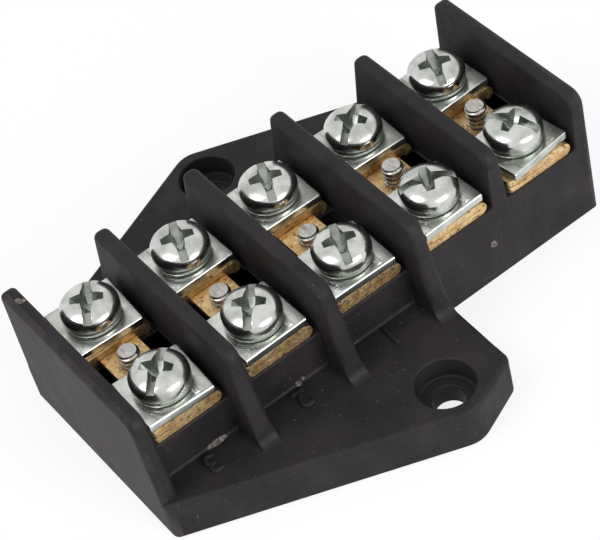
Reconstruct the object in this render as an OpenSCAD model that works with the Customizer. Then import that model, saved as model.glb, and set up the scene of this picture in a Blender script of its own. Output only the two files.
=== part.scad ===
// Barrier terminal strip: a moulded base with a row of poles, each with a brass
// plate, one fixing screw from beneath and two screw terminals.
// X runs along the strip, Y from the front terminals to the rear ones, Z up.
// The origin is the middle of the underside.

/* [Strip] */
// Number of poles
poles = 5; // [3:1:6]
// Distance from one pole to the next
pitch = 14.5; // [14:0.1:18]
// Distance between the front and rear terminal screws
row_gap = 16.1; // [15.5:0.1:20]

/* [Base] */
// Width of the body that carries the brass plates, front to back
body_w = 26; // [25.8:0.1:32]
// Height of the ledge that the brass plates lie on
ledge_h = 12.6; // [12:0.1:16]
// Thickness of the two fixing ears
ear_t = 6.5; // [5:0.1:8]
// Distance from the middle line to the tip of an ear, before its tip is rounded
ear_reach = 32.9; // [32:0.1:40]
// Distance from the middle line to the edge of an ear at the ends of the strip
ear_end = 16.9; // [16.5:0.1:18]
// Radius of the tip of an ear
ear_tip_r = 4; // [2:0.5:6]
// Radius of the corners of an ear
ear_corner_r = 1.5; // [0.5:0.1:2]

/* [Barriers] */
// Height of the barriers above the underside
barrier_h = 21.6; // [20:0.1:27]
// Thickness of a barrier at its top
barrier_t = 2.3; // [1.6:0.1:3]
// How much thicker a barrier is at the ledge, on each side
barrier_draft = 0.2; // [0:0.05:0.3]
// Half length of a barrier along its top edge
crest_y = 14.9; // [14:0.1:15.2]
// Half length of an end barrier along its top edge
end_crest_y = 15.3; // [14.4:0.1:15.5]
// Half length of an inner barrier where it meets an ear
foot_y = 17.9; // [16:0.1:19]
// Half length of an end barrier where it meets an ear
end_foot_y = 16.4; // [15.8:0.1:16.6]
// How much further the barriers' tops reach at the rear
rear_reach = 0.3; // [0:0.05:0.3]
// Radius of the top corners at the front
crest_r = 2.2; // [1:0.1:3]
// Radius of the top corners at the rear
rear_crest_r = 1; // [0.5:0.1:3]
// Radius that blends the foot of an inner barrier into the ear
foot_r = 1.6; // [0.5:0.1:2]

/* [Fixing holes] */
// Distance between the two fixing holes
hole_gap = 53.2; // [53:0.1:58]
// Diameter of a fixing hole
hole_d = 4.5; // [4:0.1:5.5]
// Diameter of the counterbore that takes the screw head
sink_d = 8; // [7:0.1:9]
// Depth of the counterbore
sink_depth = 3.4; // [2:0.1:4]

/* [Screw bores in the base] */
// Clearance around the screws of the brass plates
stud_gap = 0.15; // [0.1:0.05:0.3]
// Clearance around the terminal screws and the heads in the underside
bore_gap = 0.3; // [0.2:0.05:0.5]
// Depth left below a terminal screw's tip
tip_room = 1.2; // [0.5:0.1:2]
// Depth of the pockets beside the waist of a brass plate
pocket_depth = 3; // [1:0.1:6]
// Distance kept between a pocket and what surrounds it
pocket_gap = 0.3; // [0.1:0.05:0.5]

/* [Brass plates] */
// Thickness of the brass sheet
sheet_t = 1; // [0.8:0.05:1.2]
// Gap left between the two layers of a folded end
fold_gap = 0.1; // [0.05:0.01:0.2]
// Width of a folded end
end_w = 10.6; // [9:0.1:11]
// Length of the plate
plate_l = 25.4; // [25:0.1:25.6]
// Width of the waist between the two ends
waist_w = 5.8; // [4.6:0.1:7]
// Length of the waist
waist_l = 7.2; // [6.2:0.1:8]
// Radius of the corners of the open side of an end
plate_r = 0.8; // [0.2:0.1:1.5]
// Radius where the waist meets an end
waist_r = 0.4; // [0.2:0.1:0.6]

/* [Terminals] */
// Thread diameter of a terminal screw
screw_d = 4; // [3:0.1:4.6]
// Length of a terminal screw under its head
screw_l = 10; // [9:0.5:12]
// Diameter of its head
head_d = 8; // [7:0.1:8.6]
// Height of its head
head_h = 2.8; // [2.2:0.1:3.4]
// Thickness of the split spring washer
washer_t = 1; // [0.8:0.1:1.6]
// Outer diameter of the washer
washer_d = 7.7; // [7:0.1:8.4]
// Width of the clamp plate, along the strip
clamp_w = 10; // [8.6:0.1:10.2]
// Length of the clamp plate, front to back
clamp_l = 9.4; // [8:0.1:9.8]
// Thickness of the clamp plate
clamp_t = 1.3; // [0.8:0.1:1.5]
// Radius of its corners
clamp_r = 0.3; // [0.1:0.1:1.5]
// Clearance around the thread in the brass
thread_gap = 0.05; // [0.03:0.01:0.1]
// Clearance around the thread in the clamp plate and the washer
slip_gap = 0.2; // [0.1:0.05:0.3]

/* [Fixing screws of the brass plates] */
// Thread diameter
stud_d = 3; // [2.5:0.1:3.4]
// Diameter of the head in the underside
stud_head_d = 5.6; // [5:0.1:6]
// Height of that head
stud_head_h = 1.9; // [1.5:0.1:2.4]
// Depth of the recess that it sits in
stud_sink = 4; // [3:0.1:5]

/* [Hidden] */
$fn = 64;
// how far each fixing screw stands above the waist of its plate
STUD_STAND = [2.3, 1.8, 1.6, 2.9, 3.2];
// how each screw slot and clamp plate happens to lie, in degrees, by pole: [front, rear]
SLOT_TURN = [[41, 57], [49, 69], [70, 67], [-23, 35], [-65, 67]];
CLAMP_TURN = [[-3, -3], [1, 1], [-1, -1], [2, -2], [7, 2]];

plate_t = 2*sheet_t + fold_gap;
clamp_z = ledge_h + plate_t;
washer_z = clamp_z + clamp_t;
head_z = washer_z + washer_t;
face_y = body_w/2;
root_z = ear_t - 1;        // the body and the barriers are rooted this low in the ears' plate
root_margin = 0.1;         // how far a barrier's root runs on past its foot
over = 1;                  // how far a cut runs on past the solid that it cuts
half_l = poles*pitch/2 + barrier_t/2;
ear_slope = (ear_reach - ear_end)/half_l;
// the front ear stops at the barrier just past the middle
cut_barrier = floor(poles/2) + 1;
cut_x = barrier_x(cut_barrier) + barrier_t/2 + barrier_draft;
screw_bore_z = head_z - screw_l - tip_room;
waist_top = ledge_h + sheet_t;
fold_x = end_w/2 - plate_t/2;      // the middle of the fold
end_y = waist_l/2 - waist_r;       // where a folded end begins

SIDES = ["front", "rear"];

function barrier_x(i) = (i - poles/2)*pitch;        // i = 0 is the left end
function pole_x(i) = (i - (poles + 1)/2)*pitch;     // i = 1 is the left pole
function side_y(s) = (s == 0 ? -1 : 1)*row_gap/2;   // s = 0 is the front row
function unit(v) = v/norm(v);

// The sliver between the sharp corner b and an arc of radius r, widened away from the arc.
module corner_piece(a, b, c, r) {
    u = unit(a - b);
    v = unit(c - b);
    half = acos(u*v)/2;
    centre = b + unit(u + v)*r/sin(half);
    from = b + u*r/tan(half);
    to = b + v*r/tan(half);
    spread = 0.3;
    difference() {
        polygon([from, from + (from - centre)*spread, b + (b - centre)*spread,
                 to + (to - centre)*spread, to]);
        translate(centre) circle(r);
    }
}

// A polygon with true arcs at its corners: r > 0 rounds one off, r < 0 fills one in.
module outline(points, radii) {
    n = len(points);
    difference() {
        polygon(points);
        for (i = [0:n - 1])
            if (radii[i] > 0)
                corner_piece(points[(i + n - 1) % n], points[i], points[(i + 1) % n], radii[i]);
    }
    for (i = [0:n - 1])
        if (radii[i] < 0)
            corner_piece(points[(i + n - 1) % n], points[i], points[(i + 1) % n], -radii[i]);
}

// The points of an arc of radius r that rounds the corner b, or fills it in where it's hollow.
function arc_points(a, b, c, r) =
    let (u = unit(a - b),
         v = unit(c - b),
         half = acos(u*v)/2,
         centre = b + unit(u + v)*r/sin(half),
         first = b + u*r/tan(half) - centre,
         sweep = (2*half - 180)*sign(cross(u, v)),
         start = atan2(first[1], first[0]),
         steps = ceil(abs(sweep)/12))
    [for (k = [0:steps]) centre + r*[cos(start + sweep*k/steps), sin(start + sweep*k/steps)]];

// A polygon's points with its corners rounded or filled in by fine steps, for slanted sides.
function rounded(points, radii) =
    let (n = len(points))
    [for (i = [0:n - 1])
        each radii[i] == 0 ? [points[i]]
             : arc_points(points[(i + n - 1) % n], points[i], points[(i + 1) % n], radii[i])];

// Both ears and the body between them in plan. The front ear is cut short beside its hole.
module ear_plan() {
    polygon(rounded(
        [[-half_l, -ear_end], [0, -ear_reach], [cut_x, -ear_reach + ear_slope*cut_x],
         [cut_x, -face_y], [half_l, -face_y], [half_l, ear_end], [0, ear_reach], [-half_l, ear_end]],
        [ear_corner_r, ear_tip_r, ear_corner_r, 0, 0, ear_corner_r, ear_tip_r, ear_corner_r]));
}

// A barrier's profile across the strip. reach is its half length [at the top, at the ear],
// and foot is the radius that blends it into the ear.
module barrier_profile(reach, foot) {
    skirt = foot + root_margin;
    polygon(rounded(
        [[-reach[1] - skirt, root_z], [-reach[1] - skirt, ear_t], [-reach[1], ear_t],
         [-reach[0], barrier_h], [reach[0] + rear_reach, barrier_h],
         [reach[1], ear_t], [reach[1] + skirt, ear_t], [reach[1] + skirt, root_z]],
        [0, 0, foot, crest_r, rear_crest_r, foot, 0, 0]));
}

// Beside the cut-away ear its front edge is upright and flush with the body.
module cut_barrier_profile(reach, foot) {
    skirt = foot + root_margin;
    polygon(rounded(
        [[-face_y, root_z], [-face_y, barrier_h], [reach[0] + rear_reach, barrier_h],
         [reach[1], ear_t], [reach[1] + skirt, ear_t], [reach[1] + skirt, root_z]],
        [0, crest_r, rear_crest_r, foot, 0, 0]));
}

module barrier(i) {
    is_end = i == 0 || i == poles;
    reach = is_end ? [end_crest_y, end_foot_y] : [crest_y, foot_y];
    foot = is_end ? 0 : foot_r;
    left = i == 0 ? 0 : barrier_draft;
    right = i == poles ? 0 : barrier_draft;
    wide = barrier_t/2;
    intersection() {
        translate([barrier_x(i) - wide - barrier_draft, 0, 0])
            rotate([90, 0, 90])
                linear_extrude(2*wide + 2*barrier_draft)
                    if (barrier_x(i) > cut_x) cut_barrier_profile(reach, foot);
                    else barrier_profile(reach, foot);
        // the draft: thin at the top, full from the ledge down
        translate([barrier_x(i), ear_reach, 0])
            rotate([90, 0, 0])
                linear_extrude(2*ear_reach)
                    polygon([[-wide - left, 0], [wide + right, 0], [wide + right, ledge_h],
                             [wide, barrier_h + over], [-wide, barrier_h + over],
                             [-wide - left, ledge_h]]);
        // the corners of the ears run on up the end barriers
        linear_extrude(barrier_h + over) ear_plan();
    }
}

// What a pole needs cut out of the body: two screw bores, the fixing screw's
// counterbored hole and a pocket on each side of the brass waist.
module pole_cuts(i) {
    channel_w = pitch - barrier_t - 2*barrier_draft;
    pocket_w = (channel_w - waist_w)/2 - pocket_gap;
    pocket_l = waist_l - 2*waist_r - 2*pocket_gap;
    translate([pole_x(i), 0, 0]) {
        for (s = [0, 1])
            translate([0, side_y(s), screw_bore_z])
                cylinder(d = screw_d + 2*bore_gap, h = barrier_h);
        translate([0, 0, -over]) {
            cylinder(d = stud_d + 2*stud_gap, h = barrier_h);
            cylinder(d = stud_head_d + 2*bore_gap, h = stud_sink + over);
        }
        for (m = [-1, 1])
            translate([m*(waist_w/2 + pocket_w/2) - pocket_w/2, -pocket_l/2, ledge_h - pocket_depth])
                cube([pocket_w, pocket_l, pocket_depth + over]);
    }
}

module fixing_hole(y) {
    translate([0, y, -over]) cylinder(d = hole_d, h = ear_t + 2*over);
    translate([0, y, ear_t - sink_depth]) cylinder(d = sink_d, h = sink_depth + over);
}

module base() {
    color("#2c2a2c")
    difference() {
        union() {
            linear_extrude(ear_t) ear_plan();
            translate([-half_l, -face_y, root_z]) cube([2*half_l, body_w, ledge_h - root_z]);
            for (i = [0:poles]) barrier(i);
        }
        for (i = [1:poles]) pole_cuts(i);
        for (m = [-1, 1]) fixing_hole(m*hole_gap/2);
    }
}

// The lower layer in plan: two wide ends and the waist, square on the side of the fold.
module lower_plan() {
    w = waist_w/2;
    y = plate_l/2;
    v = waist_l/2;
    outline(
        [[-end_w/2, -y], [fold_x, -y], [fold_x, -v], [w, -v], [w, v], [fold_x, v], [fold_x, y],
         [-end_w/2, y], [-end_w/2, v], [-w, v], [-w, -v], [-end_w/2, -v]],
        [plate_r, 0, 0, -waist_r, -waist_r, 0, 0, plate_r, 0, -waist_r, -waist_r, 0]);
}

// One folded end lies over the lower layer and turns round at the side.
module folded_end(m) {
    len = plate_l/2 - end_y;
    translate([0, 0, sheet_t + fold_gap])
        linear_extrude(sheet_t)
            outline(
                [[-end_w/2, m*end_y], [fold_x, m*end_y],
                 [fold_x, m*plate_l/2], [-end_w/2, m*plate_l/2]],
                [0, 0, 0, plate_r]);
    translate([fold_x, m*(end_y + len/2) + len/2, plate_t/2])
        rotate([90, 0, 0])
            linear_extrude(len)
                intersection() {
                    difference() {
                        circle(plate_t/2);
                        circle(fold_gap/2);
                    }
                    translate([0, -plate_t/2]) square(plate_t);
                }
}

module brass_plate(i) {
    color("#c3a06e")
    translate([pole_x(i), 0, ledge_h])
        difference() {
            union() {
                linear_extrude(sheet_t) lower_plan();
                for (m = [-1, 1]) folded_end(m);
            }
            for (s = [0, 1])
                translate([0, side_y(s), -over])
                    cylinder(d = screw_d + 2*thread_gap, h = plate_t + 2*over);
            translate([0, 0, -over]) cylinder(d = stud_d + 2*thread_gap, h = plate_t + 2*over);
        }
}

// A screw's side view, head down at the foot of the shank or up at its top.
module shank(d, h, tip) {
    cylinder(d = d, h = h - tip);
    translate([0, 0, h - tip]) cylinder(d1 = d, d2 = d - 2*tip, h = tip);
}

module fixing_screw(i) {
    tip = 0.35;
    slot_w = 0.9;
    slot_depth = 0.9;
    head_r = 0.9;
    color("#9b9a98")
    translate([pole_x(i), 0, stud_sink])
        difference() {
            union() {
                shank(stud_d, waist_top + STUD_STAND[(i - 1) % len(STUD_STAND)] - stud_sink, tip);
                translate([0, 0, -stud_head_h])
                    rotate_extrude() outline(
                        [[0, 0], [stud_head_d/2, 0], [stud_head_d/2, stud_head_h], [0, stud_head_h]],
                        [0, head_r, 0, 0]);
            }
            translate([-stud_head_d, -slot_w/2, -stud_head_h - over])
                cube([2*stud_head_d, slot_w, slot_depth + over]);
        }
}

module clamp_plate(i, s) {
    color("#cfd0cf")
    translate([pole_x(i), side_y(s), clamp_z])
        rotate(CLAMP_TURN[(i - 1) % len(CLAMP_TURN)][s])
            difference() {
                linear_extrude(clamp_t)
                    outline(
                        [for (c = [[-1, -1], [1, -1], [1, 1], [-1, 1]]) [c[0]*clamp_w, c[1]*clamp_l]/2],
                        [clamp_r, clamp_r, clamp_r, clamp_r]);
                translate([0, 0, -over]) cylinder(d = screw_d + 2*slip_gap, h = clamp_t + 2*over);
            }
}

module spring_washer(i, s) {
    split_w = 0.5;
    split_turn = -20;
    color("#a9ada6")
    translate([pole_x(i), side_y(s), washer_z])
        difference() {
            cylinder(d = washer_d, h = washer_t);
            translate([0, 0, -over]) cylinder(d = screw_d + 2*slip_gap, h = washer_t + 2*over);
            rotate(split_turn)
                translate([screw_d/2, -split_w/2, -over]) cube([washer_d, split_w, washer_t + 2*over]);
        }
}

// Pan head with a full slot and a cross recess.
module terminal_screw(i, s) {
    tip = 0.5;
    slot_w = 1.1;
    slot_depth = 1.2;
    cross_l = 4.4;
    cross_depth = 1.7;
    color("#d6d7d6")
    translate([pole_x(i), side_y(s), head_z])
        rotate(SLOT_TURN[(i - 1) % len(SLOT_TURN)][s])
            difference() {
                union() {
                    rotate([180, 0, 0]) shank(screw_d, screw_l, tip);
                    rotate_extrude() head_profile();
                }
                translate([-head_d, -slot_w/2, head_h - slot_depth]) cube([2*head_d, slot_w, head_h]);
                translate([-slot_w/2, -cross_l/2, head_h - cross_depth]) cube([slot_w, cross_l, head_h]);
            }
}

module head_profile() {
    crown_r = 14;
    shoulder_r = 1.7;
    rim_r = 0.15;
    intersection() {
        outline(
            [[0, 0], [head_d/2, 0], [head_d/2, head_h], [0, head_h]],
            [0, rim_r, shoulder_r, 0]);
        translate([0, head_h - crown_r]) circle(crown_r, $fn = 180);
    }
}

base();
for (i = [1:poles]) {
    brass_plate(i);
    fixing_screw(i);
    for (s = [0, 1]) {
        clamp_plate(i, s);
        spring_washer(i, s);
        terminal_screw(i, s);
    }
}
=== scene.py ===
# Barrier terminal strip: finishes, fine detail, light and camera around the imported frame.
import math
import random

import bmesh
import bpy
from mathutils import Matrix, Quaternion, Vector


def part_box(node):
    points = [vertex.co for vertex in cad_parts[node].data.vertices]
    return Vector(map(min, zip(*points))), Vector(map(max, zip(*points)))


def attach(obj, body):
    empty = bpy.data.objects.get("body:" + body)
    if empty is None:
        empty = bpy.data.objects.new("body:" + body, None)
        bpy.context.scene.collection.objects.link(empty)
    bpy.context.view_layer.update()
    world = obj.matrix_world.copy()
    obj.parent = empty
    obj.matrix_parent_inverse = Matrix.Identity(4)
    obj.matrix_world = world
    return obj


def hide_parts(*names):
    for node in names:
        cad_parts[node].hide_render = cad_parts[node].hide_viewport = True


mm = 0.001
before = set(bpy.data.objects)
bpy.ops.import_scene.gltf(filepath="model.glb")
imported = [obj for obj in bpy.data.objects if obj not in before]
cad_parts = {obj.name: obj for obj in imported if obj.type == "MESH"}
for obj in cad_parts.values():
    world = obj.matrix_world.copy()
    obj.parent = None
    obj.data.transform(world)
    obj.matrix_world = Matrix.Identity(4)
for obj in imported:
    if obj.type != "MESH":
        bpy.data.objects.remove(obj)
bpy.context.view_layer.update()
poles = [name.split("_")[-1] for name in sorted(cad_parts) if name.startswith("brass_plate_")]
sides = ["front", "rear"]
print("frame loaded:", len(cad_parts), "nodes,", len(poles), "poles")


def linear(hexColour):
    # sRGB hex to linear RGBA
    values = [int(hexColour[i:i + 2], 16) / 255 for i in (1, 3, 5)]
    return [v / 12.92 if v <= 0.04045 else ((v + 0.055) / 1.055) ** 2.4 for v in values] + [1]


def addNode(tree, kind, settings=None, links=None):
    # a setting goes to the node's own field, to its ramp's stops or to an input socket
    node = tree.nodes.new(kind)
    for key, value in (settings or {}).items():
        if key == "stops":
            while len(node.color_ramp.elements) < len(value):
                node.color_ramp.elements.new(0.5)
            for element, (position, colour) in zip(node.color_ramp.elements, value):
                element.position = position
                element.color = linear(colour) if isinstance(colour, str) else [colour] * 3 + [1]
        elif isinstance(key, str) and hasattr(node, key):
            setattr(node, key, value)
        else:
            node.inputs[key].default_value = value
    for key, source in (links or {}).items():
        tree.links.new(source, node.inputs[key])
    return node


def newMaterial(name):
    material = bpy.data.materials.new(name)
    material.use_nodes = True
    material.node_tree.nodes.clear()
    return material, material.node_tree


mouldingLook = {
    "deep": "#19171a",        # clean skin
    "dusty": "#282426",       # where moulding powder lies
    "streakAndSheen": "#5b5451",      # drag marks, lighter: partly a painted sheen
    "speck": "#5d5852",       # filler grains in the skin
    "flowSize": 7.0,          # mm, cloudy flow marks
    "dragSize": 3.2,          # mm, slanted drag marks from the mould
    "dragTilt": 10,           # degrees from upright
    "gritSize": 0.4,          # mm, filler grains, drawn coarse so that they show
    "endWall": 36.5,          # mm from the middle; the lighter streaks, drag marks with a painted sheen, go on the end walls only
    "bump": 0.07,             # mm
    "gloss": 0.21,            # the powdery skin reflects less than a polished one
}


def thermosetMoulding():
    # black thermoset, compression moulded: satin skin, cloudy flow, grit and dusty drag marks,
    # lighter on the end walls, where they are partly a painted sheen
    look = mouldingLook
    material, tree = newMaterial("thermosetMoulding")
    place = addNode(tree, "ShaderNodeTexCoord").outputs["Object"]
    drawn = addNode(tree, "ShaderNodeMapping",
                    {"Rotation": (math.radians(look["dragTilt"]), 0, 0), "Scale": (1, 1, 0.35)},
                    {"Vector": place})
    flow = addNode(tree, "ShaderNodeTexNoise",
                   {"Scale": 1 / (look["flowSize"] * mm), "Detail": 3.0}, {"Vector": place})
    drag = addNode(tree, "ShaderNodeTexNoise",
                   {"Scale": 1 / (look["dragSize"] * mm), "Detail": 4.0, "Roughness": 0.6},
                   {"Vector": drawn.outputs["Vector"]})
    grit = addNode(tree, "ShaderNodeTexNoise",
                   {"Scale": 1 / (look["gritSize"] * mm), "Detail": 2.0}, {"Vector": place})
    cloud = addNode(tree, "ShaderNodeValToRGB",
                    {"stops": [(0.35, look["deep"]), (0.7, look["dusty"])]}, {"Fac": flow.outputs["Fac"]})
    streaksAndSheen = addNode(tree, "ShaderNodeValToRGB", {"stops": [(0.4, 0.0), (0.7, 0.35)]},
                      {"Fac": drag.outputs["Fac"]})
    parts = addNode(tree, "ShaderNodeSeparateXYZ", links={"Vector": place})
    off = addNode(tree, "ShaderNodeMath", {"operation": "ABSOLUTE"}, {0: parts.outputs["X"]})
    end = addNode(tree, "ShaderNodeMath", {"operation": "GREATER_THAN", 1: look["endWall"] * mm},
                  {0: off.outputs["Value"]})
    # on the end walls only: lighter streaks, partly drag marks and partly a painted sheen
    endStreaksAndSheen = addNode(tree, "ShaderNodeMath", {"operation": "MULTIPLY"},
                         {0: streaksAndSheen.outputs["Color"], 1: end.outputs["Value"]})
    streakedAndSheen = addNode(tree, "ShaderNodeMix", {"data_type": "RGBA", 7: linear(look["streakAndSheen"])},
                       {0: endStreaksAndSheen.outputs["Value"], 6: cloud.outputs["Color"]})
    grains = addNode(tree, "ShaderNodeValToRGB", {"stops": [(0.68, 0.0), (0.76, 0.6)]},
                     {"Fac": grit.outputs["Fac"]})
    colour = addNode(tree, "ShaderNodeMix", {"data_type": "RGBA", 7: linear(look["speck"])},
                     {0: grains.outputs["Color"], 6: streakedAndSheen.outputs[2]})
    skin = addNode(tree, "ShaderNodeValToRGB", {"stops": [(0.3, 0.5), (0.7, 0.7)]},
                   {"Fac": drag.outputs["Fac"]})
    height = addNode(tree, "ShaderNodeMath", {"operation": "ADD"},
                     {0: grit.outputs["Fac"], 1: drag.outputs["Fac"]})
    bump = addNode(tree, "ShaderNodeBump", {"Strength": 0.35, "Distance": look["bump"] * mm},
                   {"Height": height.outputs["Value"]})
    shader = addNode(tree, "ShaderNodeBsdfPrincipled",
                     {"IOR": 1.5, "Metallic": 0.0, "Specular IOR Level": look["gloss"]},
                     {"Base Color": colour.outputs[2], "Roughness": skin.outputs["Color"],
                      "Normal": bump.outputs["Normal"]})
    addNode(tree, "ShaderNodeOutputMaterial", links={"Surface": shader.outputs["BSDF"]})
    return material


breakLook = {"dark": "#3a3634", "pale": "#77706a", "grainSize": 0.45, "bump": 0.06}   # mm


def brokenThermoset():
    # the same thermoset where the edge has chipped: open, grainy and paler, with no skin
    look = breakLook
    material, tree = newMaterial("brokenThermoset")
    place = addNode(tree, "ShaderNodeTexCoord").outputs["Object"]
    grain = addNode(tree, "ShaderNodeTexNoise",
                    {"Scale": 1 / (look["grainSize"] * mm), "Detail": 4.0}, {"Vector": place})
    colour = addNode(tree, "ShaderNodeValToRGB",
                     {"stops": [(0.42, look["dark"]), (0.62, look["pale"])]}, {"Fac": grain.outputs["Fac"]})
    bump = addNode(tree, "ShaderNodeBump", {"Strength": 0.5, "Distance": look["bump"] * mm},
                   {"Height": grain.outputs["Fac"]})
    shader = addNode(tree, "ShaderNodeBsdfPrincipled", {"IOR": 1.5, "Metallic": 0.0, "Roughness": 0.8},
                     {"Base Color": colour.outputs["Color"], "Normal": bump.outputs["Normal"]})
    addNode(tree, "ShaderNodeOutputMaterial", links={"Surface": shader.outputs["BSDF"]})
    return material


zincLook = {
    "patchSize": 2.4,      # mm, milky patches of the passivation
    "markSize": 0.25,      # mm, tumbling marks drawn coarse enough to show
    "bump": 0.012,         # mm
}


def zincPlate(name, bright, milky, roughLow, roughHigh):
    # clear passivated zinc on headed or pressed steel: bright, with milky patches and tumbling marks
    look = zincLook
    material, tree = newMaterial(name)
    place = addNode(tree, "ShaderNodeTexCoord").outputs["Object"]
    patch = addNode(tree, "ShaderNodeTexNoise",
                    {"Scale": 1 / (look["patchSize"] * mm), "Detail": 3.0}, {"Vector": place})
    marks = addNode(tree, "ShaderNodeTexNoise",
                    {"Scale": 1 / (look["markSize"] * mm), "Detail": 3.0}, {"Vector": place})
    colour = addNode(tree, "ShaderNodeValToRGB", {"stops": [(0.4, bright), (0.68, milky)]},
                     {"Fac": patch.outputs["Fac"]})
    rough = addNode(tree, "ShaderNodeValToRGB", {"stops": [(0.35, roughLow), (0.7, roughHigh)]},
                    {"Fac": patch.outputs["Fac"]})
    bump = addNode(tree, "ShaderNodeBump", {"Strength": 0.4, "Distance": look["bump"] * mm},
                   {"Height": marks.outputs["Fac"]})
    shader = addNode(tree, "ShaderNodeBsdfPrincipled", {"Metallic": 1.0},
                     {"Base Color": colour.outputs["Color"], "Roughness": rough.outputs["Color"],
                      "Normal": bump.outputs["Normal"]})
    addNode(tree, "ShaderNodeOutputMaterial", links={"Surface": shader.outputs["BSDF"]})
    return material


brassLook = {
    "clean": "#e3c695", "tarnish": "#b48c55", "stain": "#5f4526",
    "patchSize": 3.0,       # mm
    "stainSize": 0.6,       # mm
    "peelSize": 0.45,       # mm, orange peel that the folding draws out
    "bump": 0.06,           # mm
}


def foldedBrass():
    # rolled brass sheet, stamped and folded: warm satin, tarnished in patches, orange peel on the bends
    look = brassLook
    material, tree = newMaterial("foldedBrass")
    place = addNode(tree, "ShaderNodeTexCoord").outputs["Object"]
    patch = addNode(tree, "ShaderNodeTexNoise",
                    {"Scale": 1 / (look["patchSize"] * mm), "Detail": 4.0, "Roughness": 0.65},
                    {"Vector": place})
    stain = addNode(tree, "ShaderNodeTexNoise",
                    {"Scale": 1 / (look["stainSize"] * mm), "Detail": 3.0}, {"Vector": place})
    peel = addNode(tree, "ShaderNodeTexNoise",
                   {"Scale": 1 / (look["peelSize"] * mm), "Detail": 2.0}, {"Vector": place})
    sheet = addNode(tree, "ShaderNodeValToRGB",
                    {"stops": [(0.4, look["clean"]), (0.72, look["tarnish"])]},
                    {"Fac": patch.outputs["Fac"]})
    stained = addNode(tree, "ShaderNodeValToRGB", {"stops": [(0.54, 0.0), (0.7, 0.75)]},
                      {"Fac": stain.outputs["Fac"]})
    colour = addNode(tree, "ShaderNodeMix", {"data_type": "RGBA", 7: linear(look["stain"])},
                     {0: stained.outputs["Color"], 6: sheet.outputs["Color"]})
    rough = addNode(tree, "ShaderNodeValToRGB", {"stops": [(0.3, 0.38), (0.7, 0.6)]},
                    {"Fac": peel.outputs["Fac"]})
    bump = addNode(tree, "ShaderNodeBump", {"Strength": 0.6, "Distance": look["bump"] * mm},
                   {"Height": peel.outputs["Fac"]})
    shader = addNode(tree, "ShaderNodeBsdfPrincipled", {"Metallic": 1.0},
                     {"Base Color": colour.outputs[2], "Roughness": rough.outputs["Color"],
                      "Normal": bump.outputs["Normal"]})
    addNode(tree, "ShaderNodeOutputMaterial", links={"Surface": shader.outputs["BSDF"]})
    return material


steelLook = {"bright": "#c6c3be", "worn": "#97948f", "scratchSize": 0.3}   # mm


def turnedSteel():
    # plated steel screw with a cut tip: light grey, with fine scratches
    look = steelLook
    material, tree = newMaterial("turnedSteel")
    place = addNode(tree, "ShaderNodeTexCoord").outputs["Object"]
    drawn = addNode(tree, "ShaderNodeMapping", {"Scale": (1, 0.25, 1)}, {"Vector": place})
    scratch = addNode(tree, "ShaderNodeTexNoise",
                      {"Scale": 1 / (look["scratchSize"] * mm), "Detail": 3.0},
                      {"Vector": drawn.outputs["Vector"]})
    colour = addNode(tree, "ShaderNodeValToRGB", {"stops": [(0.35, look["bright"]), (0.75, look["worn"])]},
                     {"Fac": scratch.outputs["Fac"]})
    rough = addNode(tree, "ShaderNodeValToRGB", {"stops": [(0.3, 0.22), (0.7, 0.36)]},
                    {"Fac": scratch.outputs["Fac"]})
    shader = addNode(tree, "ShaderNodeBsdfPrincipled", {"Metallic": 1.0},
                     {"Base Color": colour.outputs["Color"], "Roughness": rough.outputs["Color"]})
    addNode(tree, "ShaderNodeOutputMaterial", links={"Surface": shader.outputs["BSDF"]})
    return material


rootShadeLook = {"dark": "#171514", "pale": "#3c3733", "patchSize": 0.5}   # mm


def paintedThreadShade():
    # painted shade in a thread's roots, where the crests hide the light: dark and dull
    look = rootShadeLook
    material, tree = newMaterial("paintedThreadShade")
    place = addNode(tree, "ShaderNodeTexCoord").outputs["Object"]
    patch = addNode(tree, "ShaderNodeTexNoise",
                    {"Scale": 1 / (look["patchSize"] * mm), "Detail": 3.0}, {"Vector": place})
    colour = addNode(tree, "ShaderNodeValToRGB", {"stops": [(0.4, look["dark"]), (0.7, look["pale"])]},
                     {"Fac": patch.outputs["Fac"]})
    shader = addNode(tree, "ShaderNodeBsdfPrincipled", {"Metallic": 0.0, "Roughness": 0.6},
                     {"Base Color": colour.outputs["Color"]})
    addNode(tree, "ShaderNodeOutputMaterial", links={"Surface": shader.outputs["BSDF"]})
    return material


looks = {
    "moulding": thermosetMoulding(),
    "break": brokenThermoset(),
    "head": zincPlate("zincHead", "#d2d4d1", "#aaada6", 0.17, 0.3),
    "recess": zincPlate("zincRecessShaded", "#a0a39e", "#757873", 0.26, 0.42),   # punched, so rougher; darker as a painted shade in the recess and the thread's roots
    "washer": zincPlate("zincWasher", "#c3c6c0", "#9fa49a", 0.2, 0.34),
    "clamp": zincPlate("zincClamp", "#cfd1cd", "#abafa6", 0.22, 0.38),
    "brass": foldedBrass(),
    "steel": turnedSteel(),
    "rootShade": paintedThreadShade(),
}
print("materials:", len(looks))


def addPiece(name, mesh, pieceLooks, body, node, sharp=35):
    # a finished mesh becomes a piece that rides on its body and stands for its CAD node
    piece = bpy.data.objects.new(name, mesh)
    bpy.context.scene.collection.objects.link(piece)
    places = [face.material_index for face in mesh.polygons]    # clearing the list resets them
    mesh.materials.clear()
    for look in pieceLooks:
        mesh.materials.append(looks[look])
    mesh.polygons.foreach_set("material_index", places)
    mesh.shade_smooth()
    mesh.set_sharp_from_angle(angle=math.radians(sharp))
    even = piece.modifiers.new("evenShading", "WEIGHTED_NORMAL")   # flats stay flat beside rounded edges
    even.keep_sharp = True
    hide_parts(node)
    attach(piece, body)


def meshFrom(bm, name):
    mesh = bpy.data.meshes.new(name)
    bmesh.ops.recalc_face_normals(bm, faces=bm.faces)
    bm.to_mesh(mesh)
    bm.free()
    return mesh


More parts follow.
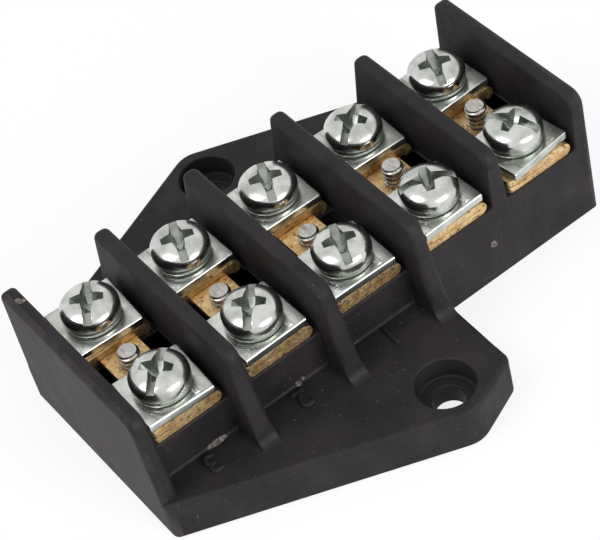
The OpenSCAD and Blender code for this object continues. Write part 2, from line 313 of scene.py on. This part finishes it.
def applied(mesh, settings):
    # the mesh after these modifiers: a list of (kind, settings)
    holder = bpy.data.objects.new("holder", mesh)
    bpy.context.scene.collection.objects.link(holder)
    for kind, values in settings:
        modifier = holder.modifiers.new(kind, kind)
        for key, value in values.items():
            setattr(modifier, key, value)
    graph = bpy.context.evaluated_depsgraph_get()
    result = bpy.data.meshes.new_from_object(holder.evaluated_get(graph))
    bpy.data.objects.remove(holder)
    return result


def giveTwoLooks(mesh):
    # any two will do while a mesh is cut, since addPiece puts in the piece's own
    mesh.materials.clear()
    for look in ("moulding", "break"):
        mesh.materials.append(looks[look])


def carved(mesh, cutters):
    # cuts each mesh of cutters out; the cut faces take the second material
    tools = []
    for shape in cutters:
        tool = bpy.data.objects.new("cutter", shape)
        bpy.context.scene.collection.objects.link(tool)
        giveTwoLooks(shape)
        for face in shape.polygons:
            face.material_index = 1
        tools.append(tool)
    giveTwoLooks(mesh)
    for _ in range(5):                                  # a cut can fail where faces just touch
        result = applied(mesh, [("BOOLEAN", {"operation": "DIFFERENCE", "object": tool, "solver": "EXACT",
                                             "material_mode": "INDEX"}) for tool in tools])
        before, after = len(mesh.polygons), len(result.polygons)
        if after != before and after > 0.5 * before:
            break
        print("cut again:", mesh.name, before, "->", after)
        for tool in tools:
            tool.location += Vector((0.0013, 0.0017, 0.0007)) * mm
    else:
        result = mesh
    for tool in tools:
        bpy.data.objects.remove(tool)
    return result


def joinFlats(bm):
    # merges points that share a place, and the triangles that make up one flat face
    bmesh.ops.remove_doubles(bm, verts=bm.verts, dist=0.0005 * mm)
    bmesh.ops.dissolve_limit(bm, angle_limit=math.radians(0.6), verts=bm.verts, edges=bm.edges)


def nodeMesh(node):
    bm = bmesh.new()
    bm.from_mesh(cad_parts[node].data)
    joinFlats(bm)
    return bm


def lathe(bm, profile, steps=96):
    # turns (radius, height) points about Z; a radius of 0 closes to a point
    rings = []
    for radius, height in profile:
        count = 1 if radius == 0 else steps
        rings.append([bm.verts.new((radius * math.cos(2 * math.pi * k / steps),
                                    radius * math.sin(2 * math.pi * k / steps), height))
                      for k in range(count)])
    for low, high in zip(rings, rings[1:]):
        for k in range(steps):
            n = (k + 1) % steps
            if len(low) == 1:
                bm.faces.new((low[0], high[n], high[k]))
            elif len(high) == 1:
                bm.faces.new((low[k], low[n], high[0]))
            else:
                bm.faces.new((low[k], low[n], high[n], high[k]))


def trimmed(bm, height, outward):
    # cuts off what lies above (outward 1) or below (-1) a height in mm, and closes the cut
    cut = bmesh.ops.bisect_plane(bm, geom=bm.verts[:] + bm.edges[:] + bm.faces[:], dist=1e-9,
                                 plane_co=(0, 0, height * mm), plane_no=(0, 0, outward), clear_outer=True)
    rim = [part for part in cut["geom_cut"] if isinstance(part, bmesh.types.BMEdge)]
    bmesh.ops.contextual_create(bm, geom=rim)


def threadedRod(radius, depth, pitch, low, high, tip, steps=36):
    # a threaded rod about Z from low to high, in mm: a helix of root, flank and crest,
    # chamfered at its low end; roots take the second material, which paints shade in them
    shape = [(0.0, depth), (0.15, 0.0), (0.58, 0.0), (0.74, depth)]   # (share of the pitch, cut)
    turns = int((high - low) / pitch) + 3
    bm = bmesh.new()
    rows = []
    for step in range(turns * steps + 1):
        angle = 2 * math.pi * step / steps
        row = []
        for share, cut in shape:
            height = low - pitch + (step / steps + share) * pitch
            r = min(radius - cut, radius - tip + max(0.0, height - low))
            row.append(bm.verts.new((r * math.cos(angle) * mm, r * math.sin(angle) * mm, height * mm)))
        rows.append(row)
    for step in range(turns * steps):
        here, there = rows[step], rows[step + 1]
        for q in range(3):
            bm.faces.new((here[q], there[q], there[q + 1], here[q + 1]))
        if step + steps + 1 < len(rows):
            root = bm.faces.new((here[3], there[3], rows[step + steps + 1][0], rows[step + steps][0]))
            root.material_index = 1
    trimmed(bm, low, -1)
    trimmed(bm, high, 1)
    return bm


def slotTurn(node):
    # which way a CAD screw's slot runs, from its upright walls that reach out to the rim
    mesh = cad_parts[node].data
    low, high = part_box(node)
    axis = (low + high) / 2
    areas = {}
    for face in mesh.polygons:
        if abs(face.normal.z) > 0.05 or face.center.z < low.z + 0.75 * (high.z - low.z):
            continue
        reach = max((mesh.vertices[v].co - axis).xy.length for v in face.vertices)
        outward = (face.center - axis).xy.normalized()
        if reach > 0.4 * (high.x - low.x) and abs(face.normal.xy.dot(outward)) < 0.6:
            key = round(math.degrees(math.atan2(face.normal.y, face.normal.x))) % 180
            areas[key] = areas.get(key, 0) + face.area
    return math.radians(max(areas, key=areas.get) - 90)


screwShape = {
    # mm, with heights from the underside of the head
    "rimHeight": 0.95, "rimChamfer": 0.12,       # its upright edge
    "crownPower": 2.3, "crownSteps": 12,         # how boxy the crown is, and its rings
    "slotWidth": 1.15, "slotFloor": 1.6,
    # the cross at three heights: (reach of an arm, half its width, how far out two arms meet)
    "crossTop": (2.65, 0.63, 1.35), "crossMiddle": (1.692, 0.451, 0.851), "crossBottom": (0.62, 0.26, 0.4),
    "crossAbove": 0.5, "crossFloor": 0.8,        # it starts above the crown, and ends here
    "shankRadius": 2.0, "tip": 0.5,              # M4, chamfered
    "rodInHead": 0.2,                            # how far the thread runs on into the head
    "threadPitch": 0.7, "threadDepth": 0.36,     # drawn coarse so that it shows
    "edgeRound": 0.06,
}


def crossCutter(top):
    # the tapered four-armed recess of a combination head
    shape = screwShape
    bm = bmesh.new()
    rings = []
    for height, (reach, half, valley) in ((top + shape["crossAbove"], shape["crossTop"]),
                                          (shape["slotFloor"], shape["crossMiddle"]),
                                          (shape["crossFloor"], shape["crossBottom"])):
        for arm in range(4):
            along = Vector((math.cos(arm * math.pi / 2), math.sin(arm * math.pi / 2), 0))
            across = Vector((-along.y, along.x, 0))
            for point in (along * reach - across * half, along * reach + across * half,
                          (along + across) * valley * 0.7071):
                rings.append(bm.verts.new((point + Vector((0, 0, height))) * mm))
    for level in (0, 12):
        for k in range(12):
            n = (k + 1) % 12
            bm.faces.new((rings[level + 12 + k], rings[level + 12 + n], rings[level + n], rings[level + k]))
    bm.faces.new(rings[:12])
    bm.faces.new(list(reversed(rings[24:])))
    return meshFrom(bm, "crossCutter")


def screwMesh(headRadius, headHeight, shankLength):
    # the origin is under the middle of the head
    shape = screwShape
    bm = bmesh.new()
    rim, chamfer, steps = shape["rimHeight"], shape["rimChamfer"], shape["crownSteps"]
    profile = [(0, 0), (headRadius - chamfer, 0), (headRadius, chamfer), (headRadius, rim)]
    power = 2 / shape["crownPower"]
    for k in range(1, steps + 1):
        angle = math.pi / 2 * k / steps
        radius = headRadius * math.cos(angle) ** power if k < steps else 0
        profile.append((radius, rim + (headHeight - rim) * math.sin(angle) ** power))
    lathe(bm, [(r * mm, z * mm) for r, z in profile])
    head = meshFrom(bm, "screwHead")
    slotHeight = 3                                      # runs past the head, upwards and at both sides
    bm = bmesh.new()
    bmesh.ops.create_cube(bm, size=1)
    bmesh.ops.scale(bm, vec=Vector((headRadius * 3, shape["slotWidth"], slotHeight)) * mm, verts=bm.verts)
    bmesh.ops.translate(bm, vec=Vector((0, 0, shape["slotFloor"] + slotHeight / 2)) * mm, verts=bm.verts)
    head = carved(head, [meshFrom(bm, "slotCutter"), crossCutter(headHeight)])
    head = applied(head, [("BEVEL", {"width": shape["edgeRound"] * mm, "segments": 2,
                                     "limit_method": "ANGLE", "angle_limit": math.radians(38)})])
    bm = threadedRod(shape["shankRadius"], shape["threadDepth"], shape["threadPitch"],
                     -shankLength, shape["rodInHead"], shape["tip"])
    bm.from_mesh(head)
    return meshFrom(bm, "terminalScrew")


def addTerminalScrews():
    low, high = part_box("terminal_screw_front_1")
    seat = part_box("spring_washer_front_1")[1].z
    master = screwMesh((high.x - low.x) / 2 / mm, (high.z - seat) / mm, (seat - low.z) / mm)
    for pole in poles:
        for side in sides:
            node = f"terminal_screw_{side}_{pole}"
            low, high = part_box(node)
            mesh = master.copy()
            mesh.transform(Matrix.Translation(((low.x + high.x) / 2, (low.y + high.y) / 2, seat))
                           @ Matrix.Rotation(slotTurn(node), 4, "Z"))
            # the second look, a darker zinc, is painted shade in the recess and the thread's roots
            addPiece(f"terminalScrew{side.title()}{pole}", mesh, ["head", "recess"],
                     f"screw_{side}_{pole}", node)


addTerminalScrews()
print("terminal screws done")

washerShape = {
    "bore": 2.15,        # mm, inner radius
    "rise": 0.16,        # mm, from one end of the ring to the other
    "splitHalf": 3.6,    # degrees
    "splitAt": -20,      # degrees
    "edge": 0.14,        # mm, rounding of the square wire
    "steps": 72,         # round the ring
}


def washerMesh(outer, height):
    shape = washerShape
    edge, thick = shape["edge"], height - shape["rise"]
    inner, outer = shape["bore"] + edge, outer - edge
    section = []
    for cornerX, cornerZ, turn in ((outer, thick - edge, 0), (inner, thick - edge, 90),
                                   (inner, edge, 180), (outer, edge, 270)):
        for k in range(3):
            a = math.radians(turn + 45 * k)
            section.append((cornerX + edge * math.cos(a), cornerZ + edge * math.sin(a)))
    bm = bmesh.new()
    steps = shape["steps"]
    rings = []
    for k in range(steps + 1):
        angle = math.radians(shape["splitAt"] + shape["splitHalf"]
                             + (360 - 2 * shape["splitHalf"]) * k / steps)
        lift = shape["rise"] * k / steps
        rings.append([bm.verts.new((r * math.cos(angle) * mm, r * math.sin(angle) * mm, (z + lift) * mm))
                      for r, z in section])
    count = len(section)
    for a, b in zip(rings, rings[1:]):
        for k in range(count):
            bm.faces.new((a[k], b[k], b[(k + 1) % count], a[(k + 1) % count]))
    bm.faces.new(rings[0])
    bm.faces.new(list(reversed(rings[-1])))
    return meshFrom(bm, "springWasher")


def addWashers():
    for pole in poles:
        for side in sides:
            node = f"spring_washer_{side}_{pole}"
            low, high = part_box(node)
            mesh = washerMesh((high.y - low.y) / 2 / mm, (high.z - low.z) / mm)
            middle = (low + high) / 2
            mesh.transform(Matrix.Translation((middle.x, middle.y, low.z)))
            addPiece(f"springWasher{side.title()}{pole}", mesh, ["washer"],
                     f"clamp_{side}_{pole}", node)


clampShape = {
    "edge": 0.3,                                             # mm, as all the values below
    "nibAt": (2.7, -3.4), "nibSize": (0.8, 1.9, 0.22),       # raised stop beside the washer
    "scribeAt": (-3.5, -3.7), "scribeSize": (0.16, 1.3, 0.12),   # guide mark on the other side
    "nibRound": 0.12, "scribeRound": 0.05,
}


def softBox(size, edge):
    bm = bmesh.new()
    bmesh.ops.create_cube(bm, size=1)
    bmesh.ops.scale(bm, vec=Vector(size) * mm, verts=bm.verts)
    bmesh.ops.bevel(bm, geom=bm.edges[:], offset=edge * mm, segments=2, affect="EDGES")
    return bm


def plateTurn(node):
    # how far a CAD clamp plate is turned about its screw, from its largest upright wall
    walls = [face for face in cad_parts[node].data.polygons if abs(face.normal.z) < 0.05]
    wall = max(walls, key=lambda face: face.area).normal
    return (math.atan2(wall.y, wall.x) + math.pi / 4) % (math.pi / 2) - math.pi / 4


def clampMesh(node):
    # the plate level and square at the origin, its front towards -Y
    shape = clampShape
    low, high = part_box(node)
    middle, thick = (low + high) / 2, high.z - low.z
    bm = nodeMesh(node)
    bmesh.ops.translate(bm, vec=-Vector((middle.x, middle.y, low.z)), verts=bm.verts)
    bmesh.ops.rotate(bm, matrix=Matrix.Rotation(-plateTurn(node), 3, "Z"), verts=bm.verts)
    mesh = applied(meshFrom(bm, "clampPlate"),
                   [("BEVEL", {"width": shape["edge"] * mm, "segments": 3,
                               "limit_method": "ANGLE", "angle_limit": math.radians(40)})])
    x, y, depth = *shape["scribeAt"], shape["scribeSize"][2]
    bm = softBox(shape["scribeSize"][:2] + (2 * depth,), shape["scribeRound"])
    bmesh.ops.translate(bm, verts=bm.verts, vec=(x * mm, y * mm, thick))
    mesh = carved(mesh, [meshFrom(bm, "scribe")])
    x, y, rise = *shape["nibAt"], shape["nibSize"][2]
    bm = softBox(shape["nibSize"][:2] + (2 * rise,), shape["nibRound"])
    bmesh.ops.translate(bm, verts=bm.verts, vec=(x * mm, y * mm, thick))
    bm.from_mesh(mesh)
    return meshFrom(bm, "clampPlate")


def addClampPlates():
    master = clampMesh("clamp_plate_front_1")
    for pole in poles:
        for side in sides:
            node = f"clamp_plate_{side}_{pole}"
            low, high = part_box(node)
            turn = plateTurn(node) + (math.pi if side == "rear" else 0)
            mesh = master.copy()
            mesh.transform(Matrix.Translation(((low.x + high.x) / 2, (low.y + high.y) / 2, low.z))
                           @ Matrix.Rotation(turn, 4, "Z"))
            addPiece(f"clampPlate{side.title()}{pole}", mesh, ["clamp", "clamp"],   # the scribed line too
                     f"clamp_{side}_{pole}", node)


brassShape = {"edge": 0.07}   # mm


def addBrassPlates():
    for pole in poles:
        node = f"brass_plate_{pole}"
        mesh = applied(meshFrom(nodeMesh(node), "brassPlate"),
                       [("BEVEL", {"width": brassShape["edge"] * mm, "segments": 2,
                                   "limit_method": "ANGLE", "angle_limit": math.radians(30)})])
        addPiece(f"brassPlate{pole}", mesh, ["brass"], "strip", node)


studShape = {
    "radius": 1.5, "tip": 0.25,                 # mm, M3 and its chamfer
    "threadPitch": 0.75, "threadDepth": 0.34,   # mm, drawn coarse so that it shows
    "headTop": 4.0,                             # mm above the underside
    "rodInHead": 0.3,                           # mm, how far the thread runs on into the head
}


def addFixingScrews():
    # the head and its slot stay as the CAD has them; the shank gains its thread
    shape = studShape
    for pole in poles:
        node = f"fixing_screw_{pole}"
        low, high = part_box(node)
        middle = (low + high) / 2
        bm = threadedRod(shape["radius"], shape["threadDepth"], shape["threadPitch"],
                         -high.z / mm, -(shape["headTop"] - shape["rodInHead"]), shape["tip"])
        bmesh.ops.rotate(bm, matrix=Matrix.Rotation(math.pi, 3, "X"), verts=bm.verts)
        bmesh.ops.translate(bm, vec=(middle.x, middle.y, 0), verts=bm.verts)
        head = nodeMesh(node)
        trimmed(head, shape["headTop"] - 0.02, 1)
        bm.from_mesh(meshFrom(head, "fixingScrewHead"))
        # the second look is painted shade in the thread's roots
        addPiece(f"fixingScrew{pole}", meshFrom(bm, "fixingScrew"), ["steel", "rootShade"],
                 "strip", node)


addWashers()
addClampPlates()
addBrassPlates()
addFixingScrews()
print("washers, clamp plates, brass and fixing screws done")

baseShape = {
    # how far edges are rounded, in mm
    "crest": 0.85, "endCrest": 0.7, "earRim": 0.7, "earCorner": 1.0, "inner": 0.28, "foot": 0.45,
    "small": 0.15,
    "holeY": 26.6, "holeRim": 4.6,                # mm, an ear hole's place, and how far its edges lie
    "earTop": 6.5, "ledge": 12.6, "faceY": 13.0, "endX": 37.4,    # mm, from the source's sizes
    "endInside": 34.5, "endFootY": 16.4, "cornerY": 16.9,         # mm, where an ear meets an end barrier
    # the rounding of a barrier's end fades towards the ear: (from this height, rounding), mm
    "fade": [(9.5, 0.85), (9.0, 0.7), (8.6, 0.5), (8.2, 0.3), (6.53, 0.06), (0.0, 0.0)],
    "digitHeight": 3.2, "digitRise": 0.46, "digitY": -15.4,       # mm, pole numbers raised on the ear
    "digitFont": 1.38,                            # a font's size over the height of its digits
    "digits": {"1": "3", "2": "2", "3": "1"},     # pole: number, turned to read from the rear
    # chipped places on a crest: (middle, half size) in mm
    "chips": [((-35.3, 12.0, 21.75), (1.3, 0.45, 0.36)), ((-36.2, 12.4, 21.7), (0.4, 0.6, 0.34))],
    # flash left along the foot of the body: (from, to) in mm along the strip
    "flash": [(-28.3, -24.9), (-13.9, -13.0), (19.0, 20.1)],
    "flashOut": (0.3, 0.45), "flashUp": (0.35, 0.6),              # mm, least and most
    "flashStep": 0.25,                                            # mm from one ring to the next
    "nub": (-12.7, 7.0, 0.38),                                    # mm along the strip, height and radius
}


def squareCorners(bm):
    # an ear's small arc beside an end barrier becomes one square corner, which the bevel then rounds
    shape = baseShape
    for vert in bm.verts:
        x, y, z = vert.co / mm
        if abs(x) < shape["endX"] - 1 or abs(y) < shape["endFootY"] - 0.55:
            continue
        vert.co.x = math.copysign(shape["endX"], x) * mm
        if z < shape["earTop"] + 0.1 and abs(y) > shape["endFootY"] + 0.02:
            vert.co.y = math.copysign(shape["cornerY"], y) * mm
    joinFlats(bm)


def edgeRound(edge):
    # rounding of one edge of the moulding, in mm, by where it lies
    shape = baseShape
    if len(edge.link_faces) != 2:
        return 0
    angle = edge.calc_face_angle_signed(0)
    if abs(angle) < math.radians(32):
        return 0
    a, b = (vert.co / mm for vert in edge.verts)
    middle = (a + b) / 2
    low, high = min(a.z, b.z), max(a.z, b.z)
    outside = abs(middle.y) > shape["faceY"] + 0.3
    if Vector((middle.x, abs(middle.y) - shape["holeY"])).length < shape["holeRim"]:
        return shape["inner"] if low > 1 else shape["small"]
    if high < 0.1:
        return shape["inner"]
    if angle < 0:                                       # hollow corners
        if high < shape["earTop"] + 0.1:
            return shape["foot"] if not outside else 0
        return shape["inner"]
    if abs(low - shape["earTop"]) < 0.01 and abs(high - shape["earTop"]) < 0.01:
        return shape["earRim"]
    if abs(middle.x) > shape["endInside"] and (low > shape["ledge"] + 0.5 or outside
                                               or abs(middle.x) > shape["endX"] - 0.05):
        return shape["earCorner" if abs(middle.y) > shape["cornerY"] - 0.05 else "endCrest"]
    if outside:
        return next(width for height, width in shape["fade"] if middle.z > height)
    if low > shape["ledge"] + 0.5:
        return shape["crest"]
    return shape["small"] if abs(middle.y) < shape["faceY"] - 0.3 else shape["inner"]


def raisedDigit(text, x):
    shape = baseShape
    curve = bpy.data.curves.new("digit", "FONT")
    curve.body = text
    curve.size = shape["digitHeight"] * shape["digitFont"] * mm
    curve.align_x = "CENTER"
    curve.align_y = "CENTER"
    curve.extrude = shape["digitRise"] * 0.5 * mm
    curve.bevel_depth = shape["digitRise"] * 0.5 * mm
    curve.offset = -shape["digitRise"] * 0.2 * mm
    curve.bevel_resolution = 2
    curve.resolution_u = 6
    holder = bpy.data.objects.new("digit", curve)
    bpy.context.scene.collection.objects.link(holder)
    graph = bpy.context.evaluated_depsgraph_get()
    mesh = bpy.data.meshes.new_from_object(holder.evaluated_get(graph))
    bpy.data.objects.remove(holder)
    mesh.transform(Matrix.Translation((x, shape["digitY"] * mm, shape["earTop"] * mm))
                   @ Matrix.Rotation(math.pi, 4, "Z"))
    return mesh


def addFlash(bm, start, end, chance):
    # a ragged sliver along the foot of the body, drawn as rings of three points
    shape = baseShape
    steps = max(4, int((end - start) / shape["flashStep"]))
    rings = []
    for k in range(steps + 1):
        taper = math.sin(math.pi * (k + 0.5) / (steps + 1))
        out, up = taper * chance.uniform(*shape["flashOut"]), taper * chance.uniform(*shape["flashUp"])
        x = start + (end - start) * k / steps + chance.uniform(-0.05, 0.05)
        rings.append([bm.verts.new(Vector(point) * mm) for point in (
            (x, -shape["faceY"] + 0.1, shape["earTop"] - 0.1),
            (x, -shape["faceY"] - shape["foot"] * 0.4 - out, shape["earTop"] + 0.05),
            (x, -shape["faceY"] - 0.05, shape["earTop"] + shape["foot"] * 0.4 + up))])
    faces = [bm.faces.new(rings[0]), bm.faces.new(list(reversed(rings[-1])))]
    for a, b in zip(rings, rings[1:]):
        for k in range(3):
            faces.append(bm.faces.new((a[k], b[k], b[(k + 1) % 3], a[(k + 1) % 3])))
    for face in faces:
        face.material_index = 1


def chipCutter(middle, size, seed):
    chance = random.Random(seed)
    bm = bmesh.new()
    bmesh.ops.create_icosphere(bm, subdivisions=3, radius=1)
    for vert in bm.verts:
        vert.co *= 1 + chance.uniform(-0.16, 0.16)
        vert.co = Vector([v * s + m for v, s, m in zip(vert.co, size, middle)]) * mm
    return meshFrom(bm, "chip")


def addBase():
    shape = baseShape
    bm = nodeMesh("base")
    squareCorners(bm)
    for height, _ in shape["fade"][:-2]:                # so that the rounding can change on the way
        bmesh.ops.bisect_plane(bm, geom=bm.verts[:] + bm.edges[:] + bm.faces[:], dist=1e-7,
                               plane_co=(0, 0, height * mm), plane_no=(0, 0, 1))
    weights = bm.edges.layers.float.new("bevel_weight_edge")
    for edge in bm.edges:
        edge[weights] = edgeRound(edge)
    mesh = applied(meshFrom(bm, "barrierBase"),
                   [("BEVEL", {"width": 1 * mm, "segments": 4, "limit_method": "WEIGHT",
                               "use_clamp_overlap": False, "loop_slide": False,
                               "miter_outer": "MITER_ARC"})])
    mesh = carved(mesh, [chipCutter(middle, size, k) for k, (middle, size) in enumerate(shape["chips"])])
    bm = bmesh.new()
    bm.from_mesh(mesh)
    chance = random.Random(4)
    for start, end in shape["flash"]:
        addFlash(bm, start, end, chance)
    x, z, radius = shape["nub"]
    nub = bmesh.ops.create_icosphere(bm, subdivisions=3, radius=radius * mm)["verts"]
    bmesh.ops.translate(bm, verts=nub, vec=Vector((x, -shape["faceY"], z)) * mm)
    for vert in nub:
        for face in vert.link_faces:
            face.material_index = 1
    for pole, digit in shape["digits"].items():
        low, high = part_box(f"brass_plate_{pole}")
        bm.from_mesh(raisedDigit(digit, (low.x + high.x) / 2))
    mesh = meshFrom(bm, "barrierBase")
    addPiece("barrierBase", mesh, ["moulding", "break"], "strip", "base", 40)


addBase()
print("base done")

studio = {
    "floorSize": 3.0,             # m
    "floorColour": "#ffffff",
    "shadow": 0.2,                # how strongly the paper shows the shadow
    "tentStrength": 0.56,
    "lampTarget": (0, 0, 0.01),   # m
    # lamp: (place and side in m, power in W)
    "lamps": {"overheadBox": ((-0.4, 0.05, 0.55), 0.35, 1.6),
              "sideBox": ((-0.6, -0.1, 0.25), 0.3, 0.25),
              "frontBox": ((0.15, -0.7, 0.35), 0.4, 4.2)},
    "cameraTarget": (-5.87, -6.88, 17.59),       # mm
    "cameraDistance": 295.0,                     # mm
    "cameraAzimuth": -115.39, "cameraElevation": 46.66, "cameraRoll": -15.78,   # degrees
    "lens": 138.9,                               # mm
}


def seenDirectly(tree):
    # 1 for what the camera, a mirror or glass sees, 0 for the light that falls on the object
    path = addNode(tree, "ShaderNodeLightPath")
    direct = addNode(tree, "ShaderNodeMath", {"operation": "MAXIMUM"},
                     {0: path.outputs["Is Camera Ray"], 1: path.outputs["Is Glossy Ray"]})
    return addNode(tree, "ShaderNodeMath", {"operation": "MAXIMUM"},
                   {0: direct.outputs["Value"], 1: path.outputs["Is Transmission Ray"]})


def addFloor():
    bm = bmesh.new()
    bmesh.ops.create_grid(bm, x_segments=1, y_segments=1, size=studio["floorSize"] / 2)
    floor = bpy.data.objects.new("floor", meshFrom(bm, "floor"))
    floor.location.z = -0.0001                          # m, just clear of the underside
    bpy.context.scene.collection.objects.link(floor)
    material, tree = newMaterial("paperFloor")
    paper = addNode(tree, "ShaderNodeBsdfDiffuse", {"Color": linear(studio["floorColour"])})
    white = addNode(tree, "ShaderNodeEmission", {"Strength": 1.0})
    share = addNode(tree, "ShaderNodeMath", {"operation": "MULTIPLY", 1: 1 - studio["shadow"]},
                    {0: seenDirectly(tree).outputs["Value"]})
    mixed = addNode(tree, "ShaderNodeMixShader", links={0: share.outputs["Value"],
                                                        1: paper.outputs[0], 2: white.outputs[0]})
    addNode(tree, "ShaderNodeOutputMaterial", links={"Surface": mixed.outputs[0]})
    floor.data.materials.append(material)


def addWorld():
    world = bpy.data.worlds.new("tent")
    bpy.context.scene.world = world
    world.use_nodes = True
    tree = world.node_tree
    tree.nodes.clear()
    light = addNode(tree, "ShaderNodeBackground",
                    {"Color": (1, 1, 1, 1), "Strength": studio["tentStrength"]})
    white = addNode(tree, "ShaderNodeBackground", {"Color": (1, 1, 1, 1), "Strength": 1.0})
    mixed = addNode(tree, "ShaderNodeMixShader", links={0: seenDirectly(tree).outputs["Value"],
                                                        1: light.outputs[0], 2: white.outputs[0]})
    addNode(tree, "ShaderNodeOutputWorld", links={"Surface": mixed.outputs[0]})


def addLamps():
    for name, (place, size, power) in studio["lamps"].items():
        lamp = bpy.data.lights.new(name, "AREA")
        lamp.size = size
        lamp.energy = power
        holder = bpy.data.objects.new(name, lamp)
        holder.location = place
        inward = Vector(studio["lampTarget"]) - Vector(place)
        holder.rotation_euler = inward.to_track_quat("-Z", "Y").to_euler()
        bpy.context.scene.collection.objects.link(holder)


def addCamera():
    azimuth = math.radians(studio["cameraAzimuth"])
    elevation = math.radians(studio["cameraElevation"])
    outward = Vector((math.cos(elevation) * math.cos(azimuth), math.cos(elevation) * math.sin(azimuth),
                      math.sin(elevation)))
    lens = bpy.data.cameras.new("camera")
    lens.lens = studio["lens"]
    lens.sensor_width = 36
    lens.sensor_fit = "HORIZONTAL"
    lens.clip_start = 0.01
    holder = bpy.data.objects.new("camera", lens)
    holder.location = (Vector(studio["cameraTarget"]) + outward * studio["cameraDistance"]) * mm
    level = (-outward).to_track_quat("-Z", "Y")
    holder.rotation_mode = "QUATERNION"
    holder.rotation_quaternion = level @ Quaternion((0, 0, 1), math.radians(studio["cameraRoll"]))
    bpy.context.scene.collection.objects.link(holder)
    bpy.context.scene.camera = holder


addFloor()
addWorld()
addLamps()
addCamera()
bpy.context.scene.view_settings.view_transform = "Standard"
print("studio done")
